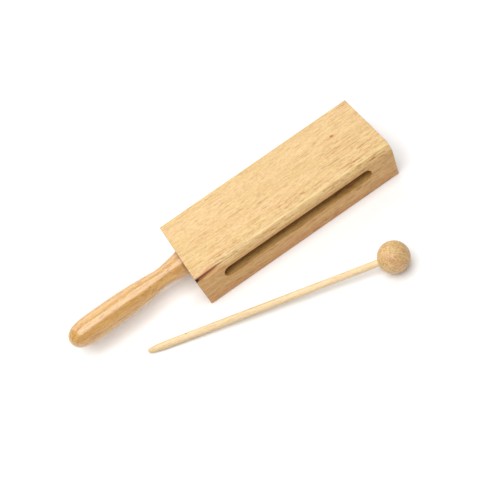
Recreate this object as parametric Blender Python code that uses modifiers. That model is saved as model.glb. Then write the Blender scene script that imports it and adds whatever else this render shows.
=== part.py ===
"""Hand-held tone block with its mallet.

A solid wooden block, hollowed by one long round-ended slot in its front side,
is held by a turned handle whose tenon is glued into a blind bore in the
block's end.  The mallet is a turned ball on a slim stick, and lies on the
table in front of the block.

Frame: metres, +Z up.  The origin is at the middle of the block's underside,
+X runs along the block away from its handle, and the slot opens towards -Y.
"""

import math

import bmesh
import bpy
from mathutils import Matrix, Vector

# ------------------------------------------------------------ dimensions

BLOCK_LENGTH = 0.1800
BLOCK_WIDTH = 0.0640
BLOCK_HEIGHT = 0.0363
ROUNDED_EDGE = 0.0085        # radius of the long upper edge over the slot
EASED_EDGE = 0.0006          # sanding on every other edge

SLOT_LENGTH = 0.1372         # end to end, with half-round ends
SLOT_HEIGHT = 0.0112
SLOT_DEPTH = 0.0450
SLOT_CENTRE_Z = 0.0220

BORE_RADIUS = 0.0073         # blind bore for the handle's tenon
BORE_DEPTH = 0.0155
GLUE_GAP = 0.0003

HANDLE_LENGTH = 0.1073       # from the block's end face to the handle's tip
HANDLE_ROOT_Y = 0.00045      # where the handle's axis leaves the end face
HANDLE_ROOT_Z = 0.0222
HANDLE_YAW = 0.00865         # slopes of the hand-set handle's axis
HANDLE_DROP = 0.01050
SHOULDER_RADIUS = 0.0108     # flared shoulder against the block
SHOULDER_GAP = 0.00045
NECK_RADIUS = 0.00805
NECK_AT = 0.0210             # distances from the end face along the handle
BELLY_RADIUS = 0.01135
BELLY_AT = 0.0790
NECK_SOFTNESS = 0.0040       # how gently the profile turns at the neck
TENON_LENGTH = 0.0150
TENON_RADIUS = BORE_RADIUS - GLUE_GAP

HEAD_RADIUS = 0.01235        # the mallet's ball
HEAD_X, HEAD_Y = 0.0393, -0.0989
HEAD_HOLE_DEPTH = 0.0150
STICK_RADIUS = 0.00305       # at its thickest, behind the tip
STICK_HEAD_RADIUS = 0.00275  # where it enters the ball
STICK_TIP_RADIUS = 0.00160
STICK_TAPER = 0.0150         # length of the tapered tip
STICK_REACH = 0.2005         # from the tip to the ball's centre
STICK_HEADING = math.radians(161.74)   # from the ball towards the tip

CUT_MARGIN = 0.004           # how far a cutter stands out of the wood
BLOCK_END = -BLOCK_LENGTH / 2
FRONT = -BLOCK_WIDTH / 2

# ------------------------------------------------------------ helpers

for stale in list(bpy.data.objects):
    bpy.data.objects.remove(stale, do_unlink=True)


def new_collection(name):
    collection = bpy.data.collections.new(name)
    bpy.context.scene.collection.children.link(collection)
    return collection


PARTS = new_collection("tone_block")
CUTTERS = new_collection("cutters")


def wood(name, colour, roughness, coat=0.0):
    material = bpy.data.materials.new(name)
    material.use_nodes = True
    shader = material.node_tree.nodes["Principled BSDF"]
    shader.inputs["Base Color"].default_value = (*colour, 1.0)
    shader.inputs["Roughness"].default_value = roughness
    shader.inputs["Metallic"].default_value = 0.0
    shader.inputs["Coat Weight"].default_value = coat
    material.diffuse_color = (*colour, 1.0)
    return material


def add_object(name, mesh, collection, material=None):
    item = bpy.data.objects.new(name, mesh)
    collection.objects.link(item)
    if material is not None:
        mesh.materials.append(material)
    return item


def cutter(item):
    item.hide_render = True
    item.display_type = "WIRE"
    return item


def cut(item, tool):
    modifier = item.modifiers.new("cut_" + tool.name, "BOOLEAN")
    modifier.operation = "DIFFERENCE"
    modifier.solver = "EXACT"
    modifier.object = tool
    return modifier


def cube(name, collection, size, centre, material=None):
    mesh = bpy.data.meshes.new(name)
    bm = bmesh.new()
    bmesh.ops.create_cube(bm, size=1.0)
    bmesh.ops.scale(bm, vec=size, verts=bm.verts)
    bm.to_mesh(mesh)
    bm.free()
    item = add_object(name, mesh, collection, material)
    item.location = centre
    return item


def rod(name, collection, radius, length, sides):
    """A capped cylinder along +Z, from z = 0 up."""
    mesh = bpy.data.meshes.new(name)
    bm = bmesh.new()
    bmesh.ops.create_cone(bm, cap_ends=True, cap_tris=False, segments=sides,
                          radius1=radius, radius2=radius, depth=length)
    bmesh.ops.translate(bm, vec=(0, 0, length / 2), verts=bm.verts)
    bm.to_mesh(mesh)
    bm.free()
    return add_object(name, mesh, collection)


def turned(name, profile, sides, collection, material):
    """A lathe-turned piece: (radius, height) from its top down, about +Z."""
    mesh = bpy.data.meshes.new(name)
    points = [(radius, 0.0, height) for radius, height in profile]
    edges = [(i, i + 1) for i in range(len(points) - 1)]
    mesh.from_pydata(points, edges, [])
    item = add_object(name, mesh, collection, material)
    screw = item.modifiers.new("lathe", "SCREW")
    screw.axis = "Z"
    screw.angle = math.tau
    screw.steps = sides
    screw.render_steps = sides
    screw.use_merge_vertices = True
    screw.merge_threshold = 0.00001
    screw.use_smooth_shade = True
    return item


def aim(direction):
    """Turns local +Z onto the given direction."""
    return Vector(direction).to_track_quat("Z", "Y")


# ------------------------------------------------------------ materials

PALE_WOOD = wood("block_wood", (0.87, 0.62, 0.34), 0.50)
HANDLE_WOOD = wood("handle_wood", (0.70, 0.46, 0.23), 0.22, coat=0.6)
STICK_WOOD = wood("stick_wood", (0.90, 0.74, 0.46), 0.55)
HEAD_WOOD = wood("head_wood", (0.58, 0.38, 0.19), 0.50)

# ------------------------------------------------------------ block

block = cube("block_body", PARTS, (BLOCK_LENGTH, BLOCK_WIDTH, BLOCK_HEIGHT),
             (0, 0, BLOCK_HEIGHT / 2), PALE_WOOD)

weights = block.data.attributes.new("bevel_weight_edge", "FLOAT", "EDGE")
for edge in block.data.edges:
    ends = [block.data.vertices[i].co for i in edge.vertices]
    over_slot = all(v.y < 0 and v.z > 0 for v in ends)
    weights.data[edge.index].value = 1.0 if over_slot else 0.0

round_over = block.modifiers.new("round_over", "BEVEL")
round_over.limit_method = "WEIGHT"
round_over.width = ROUNDED_EDGE
round_over.segments = 8

easing = block.modifiers.new("eased_edges", "BEVEL")
easing.limit_method = "ANGLE"
easing.angle_limit = math.radians(50)
easing.width = EASED_EDGE
easing.segments = 2

# The slot's cutter: a round-ended outline in the plane of the front face,
# drawn as a filled 2D curve and given the slot's depth.
outline = bpy.data.curves.new("slot_cutter", "CURVE")
outline.dimensions = "2D"
outline.fill_mode = "BOTH"
outline.extrude = (SLOT_DEPTH + CUT_MARGIN) / 2
spline = outline.splines.new("POLY")
ROUND_STEPS = 14
end_radius = SLOT_HEIGHT / 2
end_centre = SLOT_LENGTH / 2 - end_radius
outline_points = []
for side in (1, -1):
    for step in range(ROUND_STEPS + 1):
        angle = math.pi * step / ROUND_STEPS - math.pi / 2
        outline_points.append((side * (end_centre + end_radius * math.cos(angle)),
                               side * end_radius * math.sin(angle)))
spline.points.add(len(outline_points) - 1)
for point, (u, v) in zip(spline.points, outline_points):
    point.co = (u, v, 0.0, 1.0)
spline.use_cyclic_u = True

slot_curve = bpy.data.objects.new("slot_curve", outline)
CUTTERS.objects.link(slot_curve)
slot_curve.rotation_euler = (math.radians(90), 0, 0)
slot_curve.location = (0, FRONT + (SLOT_DEPTH - CUT_MARGIN) / 2, SLOT_CENTRE_Z)
bpy.context.view_layer.update()

evaluated = slot_curve.evaluated_get(bpy.context.evaluated_depsgraph_get())
slot_mesh = bpy.data.meshes.new_from_object(evaluated)
bm = bmesh.new()
bm.from_mesh(slot_mesh)
bmesh.ops.remove_doubles(bm, verts=bm.verts, dist=0.00001)
bmesh.ops.recalc_face_normals(bm, faces=bm.faces)
bm.to_mesh(slot_mesh)
bm.free()
slot_cutter = cutter(add_object("slot_cutter", slot_mesh, CUTTERS))
slot_cutter.matrix_world = slot_curve.matrix_world
bpy.data.objects.remove(slot_curve, do_unlink=True)
cut(block, slot_cutter)

# The handle leaves the end face almost square to it: a hand-set joint.
handle_root = Vector((BLOCK_END, HANDLE_ROOT_Y, HANDLE_ROOT_Z))
handle_direction = Vector((-1.0, -HANDLE_YAW, -HANDLE_DROP)).normalized()

bore_cutter = cutter(rod("bore_cutter", CUTTERS, BORE_RADIUS,
                         BORE_DEPTH + CUT_MARGIN, 40))
bore_cutter.rotation_mode = "QUATERNION"
bore_cutter.rotation_quaternion = aim(handle_direction)
bore_cutter.location = handle_root - handle_direction * BORE_DEPTH
cut(block, bore_cutter)

# ------------------------------------------------------------ handle


def eased_distance(distance, softness):
    """Grows like the distance, but starts flat, as a turned cove does."""
    return math.hypot(distance, softness) - softness


def handle_radius(s):
    """Outer radius of the handle at s metres out of the block's end face."""
    if s <= NECK_AT:
        rise = (eased_distance(NECK_AT - s, NECK_SOFTNESS)
                / eased_distance(NECK_AT, NECK_SOFTNESS))
        return NECK_RADIUS + (SHOULDER_RADIUS - NECK_RADIUS) * rise
    if s <= BELLY_AT:
        run = (eased_distance(s - NECK_AT, NECK_SOFTNESS)
               / eased_distance(BELLY_AT - NECK_AT, NECK_SOFTNESS))
        return NECK_RADIUS + (BELLY_RADIUS - NECK_RADIUS) * (1 - (1 - run) ** 2.6)
    run = (s - BELLY_AT) / (HANDLE_LENGTH - BELLY_AT)
    return BELLY_RADIUS * math.sqrt(max(0.0, 1 - run ** 4))


def handle_profile():
    points = []
    cap_steps = 13
    for step in range(cap_steps):
        # Stations crowd towards the blunt tip, where the profile turns fast.
        swing = math.pi / 2 * step / cap_steps
        run = math.cos(swing) ** 0.5
        s = BELLY_AT + (HANDLE_LENGTH - BELLY_AT) * run
        points.append((0.0 if step == 0 else handle_radius(s), s))
    body_steps = 15
    for step in range(body_steps):
        s = BELLY_AT + (NECK_AT - BELLY_AT) * step / body_steps
        points.append((handle_radius(s), s))
    neck_steps = 7
    for step in range(neck_steps):
        s = NECK_AT + (SHOULDER_GAP - NECK_AT) * step / neck_steps
        points.append((handle_radius(s), s))
    chamfer = 0.0006
    points.append((handle_radius(SHOULDER_GAP), SHOULDER_GAP))
    points.append((TENON_RADIUS, SHOULDER_GAP))
    points.append((TENON_RADIUS, chamfer - TENON_LENGTH))
    points.append((TENON_RADIUS - chamfer, -TENON_LENGTH))
    points.append((0.0, -TENON_LENGTH))
    return points


handle = turned("handle", handle_profile(), 40, PARTS, HANDLE_WOOD)
handle.rotation_mode = "QUATERNION"
handle.rotation_quaternion = aim(handle_direction)
handle.location = handle_root

# ------------------------------------------------------------ mallet


def stick_radius(s):
    """Radius of the stick at s metres from its tip."""
    if s < STICK_TAPER:
        return (STICK_RADIUS - (STICK_RADIUS - STICK_TIP_RADIUS)
                * (1 - s / STICK_TAPER) ** 2.2)
    run = (s - STICK_TAPER) / (STICK_REACH - HEAD_RADIUS - STICK_TAPER)
    return STICK_RADIUS + (STICK_HEAD_RADIUS - STICK_RADIUS) * min(1.0, run)


def resting_tilt():
    """Slope of the stick when the ball and the stick's tip touch the table."""
    slope = 0.0
    for _ in range(30):
        # The height that the axis needs at the tip, so nothing is below z = 0.
        stations = [STICK_TAPER * 1.4 * k / 60 for k in range(61)]
        tip_height = max(stick_radius(s) * math.cos(slope) - s * math.sin(slope)
                         for s in stations)
        slope = math.asin((HEAD_RADIUS - tip_height) / STICK_REACH)
    return slope


TILT = resting_tilt()
head_centre = Vector((HEAD_X, HEAD_Y, HEAD_RADIUS))
stick_direction = Vector((math.cos(STICK_HEADING) * math.cos(TILT),
                          math.sin(STICK_HEADING) * math.cos(TILT),
                          -math.sin(TILT)))

# The mallet's carrier stands under the ball, on the way the mallet is lifted.
mallet = bpy.data.objects.new("mallet", None)
mallet.empty_display_size = 0.02
mallet.location = (HEAD_X, HEAD_Y, 0.0)
PARTS.objects.link(mallet)
bpy.context.view_layer.update()


def mount_on_mallet(item, location, direction):
    item.parent = mallet
    item.rotation_mode = "QUATERNION"
    item.rotation_quaternion = aim(direction)
    item.location = Vector(location) - mallet.location


head_mesh = bpy.data.meshes.new("mallet_head")
bm = bmesh.new()
bmesh.ops.create_uvsphere(bm, u_segments=40, v_segments=24, radius=HEAD_RADIUS)
bm.to_mesh(head_mesh)
bm.free()
head_mesh.shade_smooth()
head = add_object("mallet_head", head_mesh, PARTS, HEAD_WOOD)
mount_on_mallet(head, head_centre, stick_direction)

hole_cutter = cutter(rod("hole_cutter", CUTTERS, STICK_HEAD_RADIUS + GLUE_GAP,
                         HEAD_HOLE_DEPTH + CUT_MARGIN, 24))
hole_floor = head_centre + stick_direction * (HEAD_RADIUS - HEAD_HOLE_DEPTH)
mount_on_mallet(hole_cutter, hole_floor, stick_direction)
cut(head, hole_cutter)


def stick_profile():
    """From the tip, which points up +Z, down to the end inside the ball."""
    tip = STICK_REACH
    points = [(0.0, tip)]
    nose = 0.0007
    for step in range(1, 4):
        swing = math.pi / 2 * step / 3
        points.append((STICK_TIP_RADIUS * math.sin(swing),
                       tip - nose * (1 - math.cos(swing))))
    taper_steps = 8
    for step in range(1, taper_steps + 1):
        s = nose + (STICK_TAPER - nose) * step / taper_steps
        points.append((stick_radius(s), tip - s))
    body_steps = 8
    body_end = STICK_REACH - HEAD_RADIUS
    for step in range(1, body_steps + 1):
        s = STICK_TAPER + (body_end - STICK_TAPER) * step / body_steps
        points.append((stick_radius(s), tip - s))
    inner_end = HEAD_RADIUS - HEAD_HOLE_DEPTH + GLUE_GAP
    points.append((STICK_HEAD_RADIUS, inner_end))
    points.append((0.0, inner_end))
    return points


stick = turned("mallet_stick", stick_profile(), 24, PARTS, STICK_WOOD)
mount_on_mallet(stick, head_centre, stick_direction)

bpy.context.view_layer.update()
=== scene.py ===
"""Looks of the hand-held tone block and its mallet: fine meshes, wood finishes,
a pale studio floor, soft light and the camera."""

import math

import bmesh
import bpy
import numpy as np
from mathutils import Matrix, Vector, noise


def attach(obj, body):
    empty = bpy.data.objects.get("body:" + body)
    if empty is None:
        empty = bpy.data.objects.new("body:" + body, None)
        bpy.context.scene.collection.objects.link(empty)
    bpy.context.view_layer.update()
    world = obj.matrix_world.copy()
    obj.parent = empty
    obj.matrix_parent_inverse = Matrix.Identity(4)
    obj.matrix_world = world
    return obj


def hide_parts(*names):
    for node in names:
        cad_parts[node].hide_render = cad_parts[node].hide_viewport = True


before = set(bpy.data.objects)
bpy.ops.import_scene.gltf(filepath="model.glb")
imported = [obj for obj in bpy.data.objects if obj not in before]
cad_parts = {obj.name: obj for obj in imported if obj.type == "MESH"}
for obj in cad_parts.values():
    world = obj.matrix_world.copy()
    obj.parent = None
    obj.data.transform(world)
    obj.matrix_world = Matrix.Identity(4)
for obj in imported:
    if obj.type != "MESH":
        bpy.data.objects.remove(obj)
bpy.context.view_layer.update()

MM = 0.001

# ------------------------------------------------------------ dimensions (mm)

LENGTH, WIDTH, HEIGHT = 180.0, 64.0, 36.3
ROUND = 8.5                     # long upper edge over the slot
EASE = 0.6                      # every other edge
SLOT_LENGTH, SLOT_HEIGHT, SLOT_DEPTH, SLOT_Z = 137.2, 11.2, 45.0, 22.0
BORE_RADIUS, BORE_DEPTH = 7.3, 15.5

HANDLE_LENGTH = 107.3
HANDLE_ROOT = Vector((-90.0, 0.45, 22.2))
HANDLE_DIRECTION = Vector((-1.0, -0.00865, -0.01050)).normalized()
SHOULDER_RADIUS, SHOULDER_GAP = 10.8, 0.0
NECK_RADIUS, NECK_AT, NECK_SOFT = 8.05, 21.0, 4.0
BELLY_RADIUS, BELLY_AT = 11.35, 79.0
TENON_LENGTH, TENON_RADIUS = 15.0, 7.0

HEAD_RADIUS = 12.35
HEAD = Vector((39.3, -98.9, HEAD_RADIUS))
HEAD_HOLE = 15.0
STICK_RADIUS, STICK_HEAD_RADIUS, STICK_TIP_RADIUS = 3.05, 2.75, 1.6
STICK_TAPER, STICK_REACH = 15.0, 200.5
STICK_HEADING = math.radians(161.74)


# ------------------------------------------------------------ camera

def make_camera():
    data = bpy.data.cameras.new("camera")
    camera = bpy.data.objects.new("camera", data)
    bpy.context.scene.collection.objects.link(camera)
    # Rows: the camera's right, down and forward directions in the row frame.
    right = Vector((0.819953, -0.485172, -0.303783))
    down = Vector((-0.570206, -0.645532, -0.508088))
    forward = Vector((0.050409, 0.589828, -0.805954))
    turn = Matrix((right, -down, -forward)).transposed().to_4x4()
    camera.matrix_world = Matrix.Translation(Vector((-76.0, -420.29, 560.22)) * MM) @ turn
    data.sensor_width = 36.0
    data.sensor_fit = "HORIZONTAL"
    data.lens = 871.15 / 500.0 * 36.0
    data.clip_start, data.clip_end = 0.01, 50.0
    bpy.context.scene.camera = camera
    return camera


make_camera()
bpy.context.scene.view_settings.view_transform = "Standard"
bpy.context.scene.view_settings.look = "None"


# ------------------------------------------------------------ node helpers

class Tree:
    """Short names for building a shader out of nodes."""

    def __init__(self, name):
        self.material = bpy.data.materials.new(name)
        self.material.use_nodes = True
        self.tree = self.material.node_tree
        self.tree.nodes.clear()
        self.out = self.tree.nodes.new("ShaderNodeOutputMaterial")
        self.shader = self.tree.nodes.new("ShaderNodeBsdfPrincipled")
        self.tree.links.new(self.shader.outputs[0], self.out.inputs[0])

    def put(self, socket, value):
        if isinstance(value, bpy.types.NodeSocket):
            self.tree.links.new(value, socket)
        elif isinstance(value, (tuple, list)) and len(value) == 3 and socket.type == "RGBA":
            socket.default_value = (*value, 1.0)
        else:
            socket.default_value = value

    def node(self, kind, **settings):
        made = self.tree.nodes.new(kind)
        for key, value in settings.items():
            setattr(made, key, value)
        return made

    def math(self, operation, *values, clamp=False):
        made = self.node("ShaderNodeMath", operation=operation, use_clamp=clamp)
        for socket, value in zip(made.inputs, values):
            self.put(socket, value)
        return made.outputs[0]

    def add(self, a, b): return self.math("ADD", a, b)
    def sub(self, a, b): return self.math("SUBTRACT", a, b)
    def mul(self, a, b): return self.math("MULTIPLY", a, b)
    def div(self, a, b): return self.math("DIVIDE", a, b)
    def sq(self, a): return self.math("MULTIPLY", a, a)
    def absolute(self, a): return self.math("ABSOLUTE", a)

    def vec(self, operation, *values, out=0):
        made = self.node("ShaderNodeVectorMath", operation=operation)
        for socket, value in zip(made.inputs, values):
            self.put(socket, value)
        return made.outputs["Value" if out == "value" else "Vector"]

    def scaled(self, vector, factors):
        return self.vec("MULTIPLY", vector, tuple(factors))

    def moved(self, vector, offset):
        return self.vec("ADD", vector, tuple(offset))

    def length(self, vector):
        return self.vec("LENGTH", vector, out="value")

    def split(self, vector):
        made = self.node("ShaderNodeSeparateXYZ")
        self.put(made.inputs[0], vector)
        return made.outputs[0], made.outputs[1], made.outputs[2]

    def join(self, x, y, z):
        made = self.node("ShaderNodeCombineXYZ")
        for socket, value in zip(made.inputs, (x, y, z)):
            self.put(socket, value)
        return made.outputs[0]

    def noise(self, vector, scale=1.0, detail=2.0, rough=0.5, distort=0.0, colour=False):
        made = self.node("ShaderNodeTexNoise", noise_dimensions="3D")
        self.put(made.inputs["Vector"], vector)
        self.put(made.inputs["Scale"], scale)
        self.put(made.inputs["Detail"], detail)
        self.put(made.inputs["Roughness"], rough)
        self.put(made.inputs["Distortion"], distort)
        return made.outputs["Color" if colour else "Fac"]

    def cells(self, vector, scale=1.0, random=1.0, what="Distance"):
        made = self.node("ShaderNodeTexVoronoi", voronoi_dimensions="3D", feature="F1")
        self.put(made.inputs["Vector"], vector)
        self.put(made.inputs["Scale"], scale)
        self.put(made.inputs["Randomness"], random)
        return made.outputs[what]

    def span(self, value, low, high, to_low=0.0, to_high=1.0, smooth=True):
        """Maps low..high to to_low..to_high, held outside."""
        made = self.node("ShaderNodeMapRange",
                         interpolation_type="SMOOTHSTEP" if smooth else "LINEAR")
        made.clamp = True
        for socket, number in zip(made.inputs, (value, low, high, to_low, to_high)):
            self.put(socket, number)
        return made.outputs[0]

    def mix(self, factor, a, b, blend="MIX"):
        made = self.node("ShaderNodeMix", data_type="RGBA", blend_type=blend)
        made.clamp_factor = True
        self.put(made.inputs[0], factor)
        self.put(made.inputs[6], a)
        self.put(made.inputs[7], b)
        return made.outputs[2]

    def ramp(self, factor, stops):
        made = self.node("ShaderNodeValToRGB")
        ramp = made.color_ramp
        ramp.interpolation = "EASE"
        while len(ramp.elements) < len(stops):
            ramp.elements.new(0.5)
        for element, (place, colour) in zip(ramp.elements, stops):
            element.position = place
            element.color = (*colour, 1.0)
        self.put(made.inputs[0], factor)
        return made.outputs[0]

    def bump(self, height, distance, strength=1.0, normal=None):
        made = self.node("ShaderNodeBump")
        made.inputs["Strength"].default_value = strength
        made.inputs["Distance"].default_value = distance
        self.put(made.inputs["Height"], height)
        if normal is not None:
            self.put(made.inputs["Normal"], normal)
        return made.outputs[0]


def srgb(red, green, blue):
    """A display colour of 0..255 as the linear value that a shader takes."""
    def one(v):
        v /= 255.0
        return v / 12.92 if v <= 0.04045 else ((v + 0.055) / 1.055) ** 2.4
    return (one(red), one(green), one(blue))


def wood_base(t, look):
    """The common figure of a piece of wood whose grain runs along local X.

    Returns its coordinates in millimetres, its colour, and masks for its pores
    and fibres."""
    coordinates = t.node("ShaderNodeTexCoord")
    p = t.scaled(coordinates.outputs["Object"], (1000.0, 1000.0, 1000.0))
    if look.get("turn"):
        made = t.node("ShaderNodeVectorRotate", rotation_type="EULER_XYZ")
        t.put(made.inputs["Vector"], p)
        made.inputs["Rotation"].default_value = look["turn"]
        p = made.outputs[0]
    seed = look.get("seed", (0.0, 0.0, 0.0))
    p_own = p
    p = t.moved(p, seed)

    # Slow wander of the grain, then a finer one.
    wander = t.noise(t.scaled(p, (1 / 75, 1 / 24, 1 / 24)), detail=1.0, colour=True)
    wander = t.scaled(t.moved(wander, (-0.5, -0.5, -0.5)), (0.0, look["wander"], look["wander"]))
    fine = t.noise(t.scaled(p, (1 / 14, 1 / 4, 1 / 4)), detail=1.0, colour=True)
    fine = t.scaled(t.moved(fine, (-0.5, -0.5, -0.5)), (0.0, 0.9, 0.9))
    q = t.vec("ADD", t.vec("ADD", p, wander), fine)

    # Growth rings round a pith that runs along the grain.
    cy, cz = look["pith"]
    radial = t.length(t.scaled(t.moved(q, (-seed[0], -cy - seed[1], -cz - seed[2])),
                               (0.0, 1.0, 1.0)))
    uneven = t.noise(t.join(t.mul(radial, 1 / 9.0), 0.0, 3.7), detail=1.0)
    phase = t.math("FRACT", t.add(t.div(radial, look["ring"]), t.mul(uneven, 1.6)))
    ring = t.math("SUBTRACT", t.span(phase, 0.05, 0.86), t.span(phase, 0.88, 0.99))

    # Fibre streaks at two widths.
    width = look["streak_width"]
    streak = t.noise(t.scaled(q, (1 / 15, 1 / width, 1 / width)), detail=3.0, rough=0.62)
    thread = t.noise(t.scaled(q, (1 / 9, 1 / 0.35, 1 / 0.35)), detail=1.0, rough=0.6)

    # Dark hairlines, in bundles.
    hair = t.noise(t.scaled(t.moved(q, (9.0, 23.0, 41.0)), (1 / 9, 1 / 0.95, 1 / 0.95)),
                   detail=2.0, rough=0.5)
    bundle = t.noise(t.scaled(t.moved(q, (90.0, 2.0, 14.0)), (1 / 30, 1 / 7, 1 / 7)), detail=1.0)
    hair = t.mul(t.span(hair, 0.54, 0.68), t.span(bundle, 0.40, 0.62, 0.30, 1.0))

    # Pores: short dark dashes along the grain, dots where it is cut across.
    across, along = look["pore_pitch"]
    place = t.scaled(q, (1 / along, 1 / across, 1 / across))
    distance = t.cells(place)
    chance = t.split(t.cells(place, what="Color"))[0]
    pore = t.mul(t.span(distance, look["pore_size"], look["pore_size"] * 0.35),
                 t.span(chance, look["pore_skip"], look["pore_skip"] + 0.25))
    place = t.scaled(t.moved(q, (31.0, 17.0, 5.0)),
                     (1 / (along * 0.45), 1 / (across * 0.5), 1 / (across * 0.5)))
    small = t.span(t.cells(place), look["pore_size"], look["pore_size"] * 0.35)

    # Short flecks, only a little longer along the grain than across it.
    speck = t.noise(t.scaled(t.moved(q, (3.0, 8.0, 61.0)), (1 / 2.3, 1 / 0.85, 1 / 0.85)),
                    detail=2.0, rough=0.6)

    # Broad patches between two tints.
    patch = t.noise(t.scaled(p, (1 / 55, 1 / 13, 1 / 13)), detail=2.0, rough=0.55)
    colour = t.mix(t.span(patch, 0.36, 0.66), look["tint_a"], look["tint_b"])
    cloud = t.noise(t.scaled(t.moved(p, (7.0, 80.0, 40.0)), (1 / 38, 1 / 9, 1 / 9)),
                    detail=2.0, rough=0.5)
    colour = t.mix(t.span(cloud, 0.52, 0.74, 0.0, look["blush"]), colour, look["tint_c"])
    colour = t.mix(t.mul(ring, look["ring_strength"]), colour, look["late"])
    return {"p": p_own, "q": q, "ring": ring, "streak": streak, "thread": thread,
            "pore": pore, "small": small, "patch": patch, "colour": colour,
            "hair": hair, "speck": speck}


def shade_fibres(t, w, look, gain=None):
    """Lays the streaks, hairlines and pores over the wood's colour."""
    gain = 1.0 if gain is None else gain
    dark = t.span(w["streak"], 0.50, 0.70)
    light = t.span(w["streak"], 0.47, 0.30)
    colour = t.mix(t.mul(t.mul(dark, look["streak"]), gain), w["colour"], look["streak_dark"])
    colour = t.mix(t.mul(light, look["streak"] * 0.7), colour, look["streak_light"])
    colour = t.mix(t.mul(t.mul(w["hair"], look["hair"]), gain), colour, look["hair_dark"])
    colour = t.mix(t.span(w["thread"], 0.55, 0.8, 0.0, look["thread"]), colour, look["streak_dark"])
    colour = t.mix(t.span(w["speck"], 0.52, 0.70, 0.0, look["specks"]), colour, look["streak_dark"])
    colour = t.mix(t.span(w["speck"], 0.46, 0.30, 0.0, look["specks"]), colour, look["streak_light"])
    colour = t.mix(t.mul(w["small"], look["small_pores"]), colour, look["pore"])
    colour = t.mix(t.mul(w["pore"], look["pores"]), colour, look["pore"])
    return colour


# ------------------------------------------------------------ finishes

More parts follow.
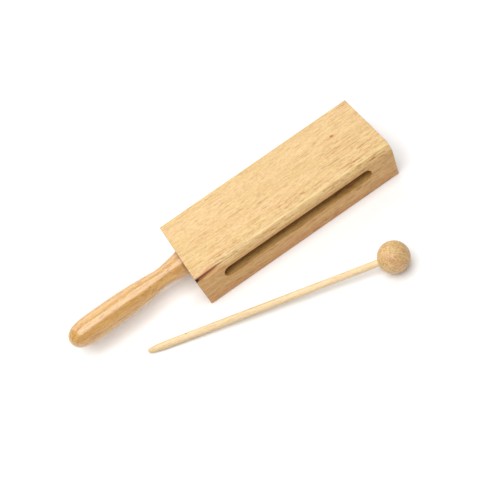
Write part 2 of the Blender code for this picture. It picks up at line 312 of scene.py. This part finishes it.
def block_finish():
    look = dict(
        seed=(11.0, 3.0, 27.0), wander=3.2, pith=(17.0, -24.0), ring=4.6,
        streak_width=1.7, pore_pitch=(1.5, 12.0), pore_size=0.26, pore_skip=0.42,
        tint_a=srgb(222, 185, 128), tint_b=srgb(226, 187, 134), tint_c=srgb(220, 174, 128),
        blush=0.6, late=srgb(208, 165, 106), ring_strength=0.40,
        streak=0.62, streak_dark=srgb(192, 143, 86), streak_light=srgb(236, 206, 146),
        hair=0.62, hair_dark=srgb(168, 116, 58), specks=0.46,
        thread=0.30, small_pores=0.16, pores=0.55, pore=srgb(146, 98, 50))
    t = Tree("block_wood_finish")
    w = wood_base(t, look)
    x, y, z = t.split(w["p"])

    # The grain shows more towards the front edge and the far end.
    gain = t.add(t.span(y, 8.0, -24.0, 0.75, 1.35), t.span(x, 20.0, 85.0, 0.0, 0.25))
    colour = shade_fibres(t, w, look, gain)

    colour = t.mix(1.0, colour, (0.925, 0.965, 0.975), blend="MULTIPLY")

    # Painted shade: the front side is browner and darker, standing in for the weaker light that falls on it.
    side = t.span(y, -30.6, -31.9)
    side = t.mul(side, t.span(z, 33.0, 30.0))
    painted_side_shade = t.mix(1.0, colour, (0.955, 0.83, 0.68), blend="MULTIPLY")
    colour = t.mix(side, colour, painted_side_shade)
    foot_edge = t.add(6.6, t.mul(t.sub(t.noise(t.scaled(w["p"], (1 / 22, 1 / 9, 1 / 9))), 0.5), 5.0))
    foot = t.mul(side, t.span(t.sub(z, foot_edge), 0.7, -0.7))
    colour = t.mix(t.mul(foot, 0.7), colour, t.mix(1.0, colour, (0.86, 0.74, 0.72), blend="MULTIPLY"))

    # The milled slot is unfinished, browner wood, with painted shade that darkens its walls and back higher
    # up, under the lip.
    slot = t.mul(t.span(y, -31.9, -31.0), t.mul(t.span(z, 16.0, 16.3), t.span(z, 28.0, 27.7)))
    slot = t.mul(slot, t.mul(t.span(t.absolute(x), 69.2, 68.7), t.span(y, 13.6, 13.3)))
    # Painted shade: the slot grows darker from its floor upwards.
    slot_shade_rise = t.span(z, 16.5, 20.5)
    cut = t.mix(slot_shade_rise, (0.90, 0.80, 0.60), (0.62, 0.44, 0.18))
    colour = t.mix(slot, colour, t.mix(1.0, colour, cut, blend="MULTIPLY"))

    # Places round the rounded edge: s runs over the rounding from the top face.
    angle = t.math("ARCTAN2", t.sub(-23.5, y), t.sub(z, 27.8))
    s = t.mul(angle, ROUND)
    on_round = t.mul(t.span(y, -23.0, -24.5), t.span(z, 27.0, 29.0))
    along = t.add(x, 90.0)
    sway = t.noise(t.join(t.mul(along, 1 / 7.0), 0.0, 1.3), detail=2.0)
    sway = t.mul(t.sub(sway, 0.5), 2.2)

    def line(path_low, path_high, x0, x1, width, soft_ends=6.0):
        """A thin line along the edge, from x0 to x1, whose s goes low to high."""
        here = t.add(t.span(along, x0, x1, path_low, path_high, smooth=False), sway)
        thin = t.span(t.absolute(t.sub(s, here)), width, width * 0.25)
        ends = t.mul(t.span(along, x0 - soft_ends, x0 + soft_ends),
                     t.span(along, x1 + soft_ends, x1 - soft_ends))
        return t.mul(t.mul(thin, ends), on_round)

    broken = t.span(t.noise(t.scaled(w["p"], (1 / 9, 1 / 2, 1 / 2)), detail=1.0), 0.38, 0.55)
    amber = srgb(192, 116, 44)
    umber = srgb(116, 62, 20)
    for path, strength_, tone in (
            (line(6.3, 6.8, 22, 60, 0.42), 0.75, srgb(150, 96, 44)),
            (line(8.1, 8.2, 56, 92, 0.40), 0.60, srgb(160, 110, 52)),
            (line(8.6, 9.0, 96, 142, 0.45), 0.60, srgb(158, 108, 50)),
            (line(5.2, 5.8, 128, 176, 0.35), 0.50, srgb(170, 120, 60)),
            (line(7.6, 8.4, 150, 182, 0.45), 0.65, srgb(150, 96, 44))):
        colour = t.mix(t.mul(t.mul(path, broken), strength_), colour, tone)

    band = t.mul(t.span(t.absolute(t.sub(s, t.add(4.3, t.mul(sway, 0.3)))), 1.3, 0.4),
                 t.mul(t.span(along, 40.0, 66.0), on_round))
    colour = t.mix(t.mul(band, 0.45), colour, srgb(244, 214, 142))

    # The dark flaw in the rounded edge at the handle's end.
    flaw_line = t.add(t.span(along, 0.0, 22.0, 7.6, 6.3, smooth=False), t.mul(sway, 0.45))
    off = t.absolute(t.sub(s, flaw_line))
    reach = t.span(along, 27.0, 9.0)
    glow = t.mul(t.mul(t.span(off, 3.6, 0.4), reach), on_round)
    colour = t.mix(t.mul(glow, 0.85), colour, amber)
    core_width = t.span(along, 0.0, 24.0, 1.7, 0.6)
    core = t.mul(t.mul(t.span(t.div(off, core_width), 1.15, 0.55),
                       t.span(along, 30.0, 16.0)), on_round)
    colour = t.mix(t.mul(core, 0.92), colour, umber)
    mouth = t.mul(t.span(t.length(t.join(t.div(along, 3.4), t.div(t.sub(s, 7.7), 1.5), 0.0)), 1.15, 0.55),
                  on_round)
    colour = t.mix(mouth, colour, srgb(26, 10, 4))

    # The small knot on the top face.
    wobble = t.scaled(t.moved(t.noise(t.scaled(w["p"], (0.5, 0.5, 0.5)), detail=2.0, colour=True),
                              (-0.5, -0.5, -0.5)), (1.6, 1.2, 0.0))
    at = t.vec("ADD", t.moved(w["p"], (-61.5, -8.6, -36.3)), wobble)
    halo = t.span(t.length(t.scaled(at, (1 / 7.5, 1 / 3.2, 1 / 6))), 1.0, 0.1)
    colour = t.mix(t.mul(halo, 0.45), colour, srgb(222, 168, 108))
    tail = t.span(t.length(t.scaled(t.moved(at, (4.2, -0.3, 0.0)), (1 / 5.0, 1 / 0.6, 1 / 3))), 1.0, 0.2)
    colour = t.mix(t.mul(tail, 0.40), colour, srgb(190, 136, 78))
    eye = t.span(t.length(t.scaled(at, (1 / 2.5, 1 / 1.6, 1 / 3))), 1.0, 0.25)
    colour = t.mix(t.mul(eye, 0.95), colour, srgb(150, 88, 42))

    # Cut end grain drinks more finish and is darker.
    end = t.span(t.absolute(x), 89.55, 89.95)
    dots = t.mix(t.mul(w["small"], 0.5), colour, look["pore"])
    colour = t.mix(end, colour, t.mix(1.0, dots, (0.80, 0.70, 0.60), blend="MULTIPLY"))

    t.put(t.shader.inputs["Base Color"], colour)
    rough = t.add(0.46, t.mul(t.sub(w["streak"], 0.5), 0.25))
    rough = t.add(rough, t.mul(w["pore"], 0.15))
    t.put(t.shader.inputs["Roughness"], rough)
    t.shader.inputs["Specular IOR Level"].default_value = 0.45
    height = t.sub(t.mul(w["thread"], 0.35), t.add(t.mul(w["pore"], 0.9), t.mul(w["small"], 0.4)))
    t.put(t.shader.inputs["Normal"], t.bump(height, 0.00006, 0.8))
    return t.material


def handle_finish():
    look = dict(
        seed=(140.0, 60.0, 90.0), wander=4.0, pith=(-20.0, 34.0), ring=3.4,
        streak_width=1.5, pore_pitch=(1.4, 10.0), pore_size=0.26, pore_skip=0.35,
        tint_a=srgb(208, 162, 90), tint_b=srgb(216, 170, 96), tint_c=srgb(208, 154, 92),
        blush=0.5, late=srgb(180, 128, 66), ring_strength=0.45,
        streak=0.45, streak_dark=srgb(172, 116, 58), streak_light=srgb(226, 180, 108),
        hair=0.55, hair_dark=srgb(146, 92, 42), specks=0.40,
        thread=0.25, small_pores=0.16, pores=0.6, pore=srgb(120, 74, 34))
    t = Tree("handle_wood_finish")
    w = wood_base(t, look)
    colour = shade_fibres(t, w, look)
    x, y, z = t.split(w["p"])
    # Painted shade, darker, where the shoulder meets the block.
    joint_shade = t.span(x, -93.5, -90.2)
    colour = t.mix(t.mul(joint_shade, 0.55), colour, srgb(140, 84, 38))
    t.put(t.shader.inputs["Base Color"], colour)
    t.put(t.shader.inputs["Roughness"], t.add(0.36, t.mul(w["pore"], 0.2)))
    t.shader.inputs["Coat Weight"].default_value = 1.0
    t.shader.inputs["Coat Roughness"].default_value = 0.07
    t.shader.inputs["Coat IOR"].default_value = 1.5
    height = t.sub(t.mul(w["streak"], 0.5), t.mul(w["pore"], 0.8))
    bump = t.bump(height, 0.00008, 0.7)
    t.put(t.shader.inputs["Normal"], bump)
    orange = t.noise(t.scaled(w["p"], (1 / 3.0, 1 / 1.6, 1 / 1.6)), detail=2.0)
    t.put(t.shader.inputs["Coat Normal"], t.bump(orange, 0.00010, 0.5))
    return t.material


def stick_finish():
    look = dict(
        seed=(300.0, 20.0, 10.0), wander=1.5, pith=(8.0, -14.0), ring=2.6,
        streak_width=1.2, pore_pitch=(0.8, 7.0), pore_size=0.24, pore_skip=0.55,
        tint_a=srgb(228, 202, 158), tint_b=srgb(232, 207, 164), tint_c=srgb(230, 196, 156),
        blush=0.6, late=srgb(216, 184, 136), ring_strength=0.35,
        streak=0.45, streak_dark=srgb(206, 166, 114), streak_light=srgb(240, 220, 182),
        hair=0.45, hair_dark=srgb(186, 148, 96), specks=0.35,
        thread=0.20, small_pores=0.10, pores=0.35, pore=srgb(176, 138, 84))
    t = Tree("stick_wood_finish")
    w = wood_base(t, look)
    colour = shade_fibres(t, w, look)
    x, y, z = t.split(w["p"])
    # A small brown fleck, and a second one further up.
    for place, size, strength in ((33.5, 1.5, 0.65), (88.0, 1.1, 0.35), (141.0, 1.3, 0.30)):
        at = t.join(t.div(t.sub(x, place), size), t.div(t.sub(y, 1.0), size * 0.7), 0.0)
        fleck = t.mul(t.span(t.length(at), 1.0, 0.2), t.span(z, 0.5, 1.5))
        colour = t.mix(t.mul(fleck, strength), colour, srgb(150, 120, 62))
    tip = t.span(x, 3.0, 0.6)
    colour = t.mix(t.mul(tip, 0.6), colour, srgb(222, 188, 112))
    t.put(t.shader.inputs["Base Color"], colour)
    t.put(t.shader.inputs["Roughness"], t.add(0.52, t.mul(t.sub(w["streak"], 0.5), 0.2)))
    t.shader.inputs["Specular IOR Level"].default_value = 0.35
    height = t.sub(t.mul(w["thread"], 0.5), t.mul(w["pore"], 0.8))
    t.put(t.shader.inputs["Normal"], t.bump(height, 0.00006, 0.8))
    return t.material


def head_finish():
    look = dict(
        seed=(500.0, 44.0, 71.0), wander=9.0, turn=(0.35, 0.75, 0.5), pith=(22.0, 14.0), ring=5.4,
        streak_width=1.8, pore_pitch=(1.3, 3.2), pore_size=0.34, pore_skip=0.30,
        tint_a=srgb(206, 172, 112), tint_b=srgb(214, 176, 122), tint_c=srgb(206, 158, 116),
        blush=0.7, late=srgb(184, 142, 84), ring_strength=0.15,
        streak=0.55, streak_dark=srgb(166, 120, 62), streak_light=srgb(232, 202, 150),
        hair=0.45, hair_dark=srgb(140, 96, 44), specks=0.75,
        thread=0.30, small_pores=0.35, pores=0.6, pore=srgb(126, 84, 36))
    t = Tree("head_wood_finish")
    w = wood_base(t, look)
    colour = shade_fibres(t, w, look)
    t.put(t.shader.inputs["Base Color"], colour)
    t.put(t.shader.inputs["Roughness"], t.add(0.44, t.mul(w["pore"], 0.2)))
    t.shader.inputs["Specular IOR Level"].default_value = 0.5
    height = t.sub(t.mul(w["thread"], 0.4), t.mul(w["pore"], 0.9))
    t.put(t.shader.inputs["Normal"], t.bump(height, 0.00008, 0.8))
    return t.material


# ------------------------------------------------------------ mesh helpers

def link(name, mesh, finish=None):
    item = bpy.data.objects.new(name, mesh)
    bpy.context.scene.collection.objects.link(item)
    if finish is not None:
        mesh.materials.append(finish)
    return item


def tube_mesh(name, rings, close_start=True, close_end=True):
    """Joins rings of points, each an (n, 3) array in mm, into a closed skin."""
    n = len(rings[0])
    points = np.concatenate(rings)
    faces = []
    for k in range(len(rings) - 1):
        a, b = k * n, (k + 1) * n
        for i in range(n):
            j = (i + 1) % n
            faces.append((a + i, a + j, b + j, b + i))
    points = [tuple(p) for p in points * MM]
    if close_start:
        points.append(tuple(rings[0].mean(0) * MM))
        c = len(points) - 1
        faces += [(c, (i + 1) % n, i) for i in range(n)]
    if close_end:
        points.append(tuple(rings[-1].mean(0) * MM))
        c, a = len(points) - 1, (len(rings) - 1) * n
        faces += [(c, a + i, a + (i + 1) % n) for i in range(n)]
    mesh = bpy.data.meshes.new(name)
    mesh.from_pydata(points, [], faces)
    bm = bmesh.new()
    bm.from_mesh(mesh)
    bmesh.ops.remove_doubles(bm, verts=bm.verts, dist=0.000002)
    bmesh.ops.recalc_face_normals(bm, faces=bm.faces)
    bm.to_mesh(mesh)
    bm.free()
    return mesh


def smooth(mesh, degrees):
    mesh.shade_smooth()
    mesh.set_sharp_from_angle(angle=math.radians(degrees))


def carve(item, tools):
    """Cuts the tools' shapes out of the item and drops the tools."""
    for tool in tools:
        modifier = item.modifiers.new("cut", "BOOLEAN")
        modifier.operation = "DIFFERENCE"
        modifier.solver = "EXACT"
        modifier.object = tool
    bpy.context.view_layer.update()
    evaluated = item.evaluated_get(bpy.context.evaluated_depsgraph_get())
    mesh = bpy.data.meshes.new_from_object(evaluated)
    item.modifiers.clear()
    item.data = mesh
    for tool in tools:
        bpy.data.objects.remove(tool, do_unlink=True)
    return mesh


def wave(x, y, z, seed=0.0):
    """Smooth noise of about -1..1."""
    return noise.noise(Vector((x + seed, y - seed * 0.7, z + seed * 1.3)))


# ------------------------------------------------------------ block

ROUND_CENTRE = (-WIDTH / 2 + ROUND, HEIGHT - ROUND)


def section(inset):
    """Outline of the block across its length, pulled in by inset, in (y, z)."""
    w, h = WIDTH / 2, HEIGHT
    # centre y, centre z, radius, start angle (degrees), steps
    corners = ((w - EASE, EASE, EASE, -90, 5),
               (w - EASE, h - EASE, EASE, 0, 5),
               (-w + ROUND, h - ROUND, ROUND, 90, 44),
               (-w + EASE, EASE, EASE, 180, 5))
    arcs = []
    for cy, cz, radius, start, steps in corners:
        arc = []
        for k in range(steps + 1):
            a = math.radians(start + 90.0 * k / steps)
            r = max(radius - inset, 0.0)
            arc.append((cy + r * math.cos(a), cz + r * math.sin(a)))
        arcs.append(arc)
    points = []
    for k, arc in enumerate(arcs):
        points += arc
        a, b = arc[-1], arcs[(k + 1) % 4][0]
        run = math.dist(a, b)
        steps = {0: 18, 1: 30, 2: 14, 3: 32}[k]
        stops = [0.3 / run] + [i / steps for i in range(1, steps)] + [1 - 0.3 / run]
        points += [(a[0] + (b[0] - a[0]) * u, a[1] + (b[1] - a[1]) * u) for u in stops]
    return points


def flaw_depth(x, y, z):
    """Depth in mm of the flaw that runs along the rounded edge from its end."""
    along = x + 90.0
    if along > 34 or y > -22 or z < 26:
        return 0.0
    s = math.atan2(ROUND_CENTRE[0] - y, z - ROUND_CENTRE[1]) * ROUND
    centre = 7.6 + (6.3 - 7.6) * min(along / 22.0, 1.0) + 0.35 * wave(along / 6.0, 2.0, 0.0)
    width = 1.1 - 0.028 * along
    depth = 1.3 * math.exp(-along / 9.0) + 0.25
    fade = min(1.0, max(0.0, (34 - along) / 12))
    return depth * fade * math.exp(-((s - centre) / max(width, 0.2)) ** 2 * 1.6)


def make_block():
    rings = []
    ease_steps = 5
    stations = []
    for k in range(ease_steps + 1):
        a = math.pi / 2 * k / ease_steps
        stations.append((-LENGTH / 2 + EASE * (1 - math.cos(a)), EASE * (1 - math.sin(a))))
    inner = LENGTH / 2 - EASE
    fine = [-inner + 0.35 + 0.65 * k for k in range(54)]
    coarse_from = fine[-1]
    coarse = list(np.linspace(coarse_from, inner - 0.35, 120)[1:])
    stations += [(x, 0.0) for x in fine + coarse]
    for k in range(ease_steps, -1, -1):
        a = math.pi / 2 * k / ease_steps
        stations.append((LENGTH / 2 - EASE * (1 - math.cos(a)), EASE * (1 - math.sin(a))))
    for x, inset in stations:
        ring = []
        for y, z in section(inset):
            oy, oz = y, z
            # Sanding leaves the long rounded edge a little uneven.
            if y < -23.5 and z > 27.8:
                dy, dz = y - ROUND_CENTRE[0], z - ROUND_CENTRE[1]
                d = math.hypot(dy, dz) or 1.0
                swell = 0.10 * wave(x / 16, 1.0, 4.0) + 0.05 * wave(x / 5, d, 9.0)
                swell = -abs(swell) * math.sin(2 * math.atan2(-dy, dz))
                cut = flaw_depth(x, oy, oz)
                y += dy / d * (swell - cut)
                z += dz / d * (swell - cut)
            ring.append((x, y, z))
        rings.append(np.array(ring))
    mesh = tube_mesh("block", rings)
    block = link("block_body_fine", mesh)

    # Slot cutter with a softly rounded mouth.
    lip = 0.35
    profile = [(-3.0, lip)] + [(lip * (1 - math.cos(a)), lip * (1 - math.sin(a)))
                               for a in [math.pi / 2 * k / 5 for k in range(6)]]
    profile += [(SLOT_DEPTH * u, 0.0) for u in (0.1, 0.3, 0.5, 0.7, 0.9)]
    profile += [(SLOT_DEPTH - 0.8, 0.0), (SLOT_DEPTH - 0.25, -0.2), (SLOT_DEPTH, -0.8)]
    cutter_rings = []
    half = SLOT_HEIGHT / 2
    centre = SLOT_LENGTH / 2 - half
    for depth, grow in profile:
        ring = []
        for side in (1, -1):
            for k in range(25):
                a = math.pi * k / 24 - math.pi / 2
                ring.append((side * (centre + (half + grow) * math.cos(a)),
                             -WIDTH / 2 + depth,
                             SLOT_Z + side * (half + grow) * math.sin(a)))
        cutter_rings.append(np.array(ring))
    slot = link("slot_tool", tube_mesh("slot_tool", cutter_rings))
    bore_rings = []
    for depth in (BORE_DEPTH, -4.0):
        frame_ = lathe_frame(HANDLE_ROOT, HANDLE_DIRECTION)
        a = np.linspace(0, 2 * np.pi, 48, endpoint=False)
        local = np.stack([np.full(48, -depth), BORE_RADIUS * np.cos(a), BORE_RADIUS * np.sin(a)], -1)
        bore_rings.append(place(local, frame_))
    bore = link("bore_tool", tube_mesh("bore_tool", bore_rings))
    mesh = carve(block, [slot, bore])
    mesh.materials.clear()
    mesh.materials.append(block_finish())
    smooth(mesh, 32)
    return block


def lathe_frame(origin, direction):
    """Rotation whose X axis is the given direction, with Z kept upwards."""
    x = Vector(direction).normalized()
    y = Vector((0, 0, 1)).cross(x).normalized()
    z = x.cross(y)
    turn = Matrix((x, y, z)).transposed().to_4x4()
    return Matrix.Translation(origin) @ turn


def place(points, matrix):
    m = np.array(matrix)
    return points @ m[:3, :3].T + m[:3, 3]


def turned(name, profile, sides, wobble=None):
    """Lathe-turned skin along local X from (x, radius) stations, in mm.
    wobble(x, angle, radius) gives a small change of radius."""
    rings = []
    for x, radius in profile:
        ring = []
        for k in range(sides):
            a = math.tau * k / sides
            r = radius + (wobble(x, a, radius) if wobble else 0.0)
            ring.append((x, r * math.cos(a), r * math.sin(a)))
        rings.append(np.array(ring))
    return tube_mesh(name, rings)


# ------------------------------------------------------------ handle

def eased(d, soft):
    return math.hypot(d, soft) - soft


def handle_radius(s):
    if s <= NECK_AT:
        rise = eased(NECK_AT - s, NECK_SOFT) / eased(NECK_AT, NECK_SOFT)
        return NECK_RADIUS + (SHOULDER_RADIUS - NECK_RADIUS) * rise
    if s <= BELLY_AT:
        run = eased(s - NECK_AT, NECK_SOFT) / eased(BELLY_AT - NECK_AT, NECK_SOFT)
        return NECK_RADIUS + (BELLY_RADIUS - NECK_RADIUS) * (1 - (1 - run) ** 2.6)
    run = (s - BELLY_AT) / (HANDLE_LENGTH - BELLY_AT)
    return BELLY_RADIUS * math.sqrt(max(0.0, 1 - run ** 4))


def make_handle():
    profile = [(-TENON_LENGTH, TENON_RADIUS - 0.6), (-TENON_LENGTH + 0.6, TENON_RADIUS),
               (-0.02, TENON_RADIUS), (0.0, TENON_RADIUS + 0.05),
               (0.0, SHOULDER_RADIUS - 0.4), (0.12, SHOULDER_RADIUS - 0.1)]
    profile += [(s, handle_radius(s)) for s in np.arange(0.4, BELLY_AT, 0.6)]
    for k in range(46):
        run = math.sin(math.pi / 2 * k / 46) ** 0.75
        s = BELLY_AT + (HANDLE_LENGTH - BELLY_AT) * run
        profile.append((s, handle_radius(s)))

    def wobble(x, a, radius):
        if x < 0.3 or radius < 1.0:
            return 0.0
        y, z = math.cos(a), math.sin(a)
        slow = 0.16 * wave(x / 26.0, y * 1.4, z * 1.4, 5.0)
        flat = 0.06 * wave(x / 9.0, y * 2.6, z * 2.6, 11.0)
        fade = min(1.0, x / 8.0) * min(1.0, (HANDLE_LENGTH - x) / 4.0)
        return (slow + flat - 0.06) * fade

    mesh = turned("handle", profile, 128, wobble)
    handle = link("handle_fine", mesh, handle_finish())
    # The mesh is moved into the row frame, so the grain is read along the block.
    turn = lathe_frame(HANDLE_ROOT, HANDLE_DIRECTION)
    turn.translation = turn.translation * MM
    mesh.transform(turn)
    smooth(mesh, 40)
    return handle


# ------------------------------------------------------------ mallet

def stick_radius(s):
    if s < STICK_TAPER:
        return (STICK_RADIUS - (STICK_RADIUS - STICK_TIP_RADIUS) * (1 - s / STICK_TAPER) ** 2.2)
    run = (s - STICK_TAPER) / (STICK_REACH - HEAD_RADIUS - STICK_TAPER)
    return STICK_RADIUS + (STICK_HEAD_RADIUS - STICK_RADIUS) * min(1.0, run)


def resting_tilt():
    slope = 0.0
    for _ in range(30):
        stations = [STICK_TAPER * 1.4 * k / 60 for k in range(61)]
        height = max(stick_radius(s) * math.cos(slope) - s * math.sin(slope) for s in stations)
        slope = math.asin((HEAD_RADIUS - height) / STICK_REACH)
    return slope


TILT = resting_tilt()
STICK_DIRECTION = Vector((math.cos(STICK_HEADING) * math.cos(TILT),
                          math.sin(STICK_HEADING) * math.cos(TILT), -math.sin(TILT)))


def make_stick():
    """Local X runs from the tip to the ball, local Z is up."""
    profile = []
    for k in range(1, 7):
        a = math.pi / 2 * k / 6
        profile.append((0.7 * (1 - math.cos(a)), STICK_TIP_RADIUS * math.sin(a)))
    profile += [(s, stick_radius(s)) for s in np.arange(0.9, 16.0, 0.35)]
    inner = STICK_REACH + HEAD_HOLE - HEAD_RADIUS - 0.3
    profile += [(s, stick_radius(s)) for s in np.linspace(16.5, inner, 150)]

    def wobble(x, a, radius):
        y, z = math.cos(a), math.sin(a)
        if x > STICK_REACH - HEAD_RADIUS:
            return -0.02
        slow = 0.05 * wave(x / 30.0, y, z, 21.0)
        facet = -0.07 * abs(math.sin(a * 3 + 0.7)) * max(0.0, 1 - x / 12.0)
        return slow + facet - 0.02

    mesh = turned("stick", profile, 48, wobble)
    stick = link("mallet_stick_fine", mesh, stick_finish())
    tip = HEAD + STICK_DIRECTION * STICK_REACH
    turn = lathe_frame(tip * MM, -STICK_DIRECTION)
    stick.matrix_world = turn
    smooth(mesh, 40)
    return stick


def make_head():
    mesh = bpy.data.meshes.new("head")
    bm = bmesh.new()
    bmesh.ops.create_icosphere(bm, subdivisions=6, radius=HEAD_RADIUS)
    for v in bm.verts:
        n = v.co.normalized()
        v.co += n * (0.05 * wave(*(n * 2.2), 31.0) - 0.03)
    bmesh.ops.scale(bm, vec=(MM, MM, MM), verts=bm.verts)
    bm.to_mesh(mesh)
    bm.free()
    head = link("mallet_head_fine", mesh)
    a = np.linspace(0, 2 * np.pi, 48, endpoint=False)
    rings = []
    for depth, radius in ((HEAD_HOLE, STICK_HEAD_RADIUS + 0.25), (0.35, STICK_HEAD_RADIUS + 0.25),
                          (0.1, STICK_HEAD_RADIUS + 0.32), (-0.1, STICK_HEAD_RADIUS + 0.5),
                          (-3.0, STICK_HEAD_RADIUS + 0.6)):
        rings.append(np.stack([np.full(48, HEAD_RADIUS - depth), radius * np.cos(a), radius * np.sin(a)], -1))
    tool = link("hole_tool", tube_mesh("hole_tool", rings))
    mesh = carve(head, [tool])
    mesh.materials.clear()
    mesh.materials.append(head_finish())
    head.matrix_world = lathe_frame(HEAD * MM, STICK_DIRECTION)
    smooth(mesh, 40)
    return head


# ------------------------------------------------------------ floor and light

def make_floor():
    mesh = bpy.data.meshes.new("floor")
    bm = bmesh.new()
    bmesh.ops.create_grid(bm, x_segments=8, y_segments=8, size=4.0)
    bm.to_mesh(mesh)
    bm.free()
    t = Tree("floor_paper")
    coordinates = t.node("ShaderNodeTexCoord")
    cloud = t.noise(t.scaled(coordinates.outputs["Object"], (6.0, 6.0, 6.0)), detail=3.0)
    t.put(t.shader.inputs["Base Color"], t.mix(cloud, (0.90, 0.90, 0.90), (0.92, 0.92, 0.92)))
    t.shader.inputs["Roughness"].default_value = 0.9
    t.shader.inputs["Specular IOR Level"].default_value = 0.1
    floor = link("floor", mesh, t.material)
    floor.location = (0, 0, -0.0002)
    return floor


def area(name, location, target, size_x, size_y, power, colour=(1, 1, 1)):
    data = bpy.data.lights.new(name, "AREA")
    data.shape = "RECTANGLE"
    data.size, data.size_y = size_x, size_y
    data.energy = power
    data.color = colour
    lamp = bpy.data.objects.new(name, data)
    bpy.context.scene.collection.objects.link(lamp)
    lamp.location = location
    lamp.rotation_euler = (Vector(target) - Vector(location)).to_track_quat("-Z", "Y").to_euler()
    return lamp


def make_lights():
    world = bpy.data.worlds.new("studio")
    world.use_nodes = True
    background = world.node_tree.nodes["Background"]
    background.inputs[0].default_value = (1.0, 1.0, 1.0, 1.0)
    background.inputs[1].default_value = 0.30
    bpy.context.scene.world = world
    area("overhead", (-0.22, -0.22, 0.95), (-0.22, -0.22, 0.0), 1.10, 0.86, 11.0)
    area("back_panel", (-0.15, 1.15, 0.80), (-0.05, 0.0, 0.0), 1.8, 1.2, 12.0)


# ------------------------------------------------------------ assembly

block = make_block()
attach(block, "block")
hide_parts("block_body")

handle = make_handle()
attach(handle, "block")
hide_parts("handle")

stick = make_stick()
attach(stick, "mallet")
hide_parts("mallet_stick")

head = make_head()
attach(head, "mallet")
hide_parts("mallet_head")

make_floor()
make_lights()
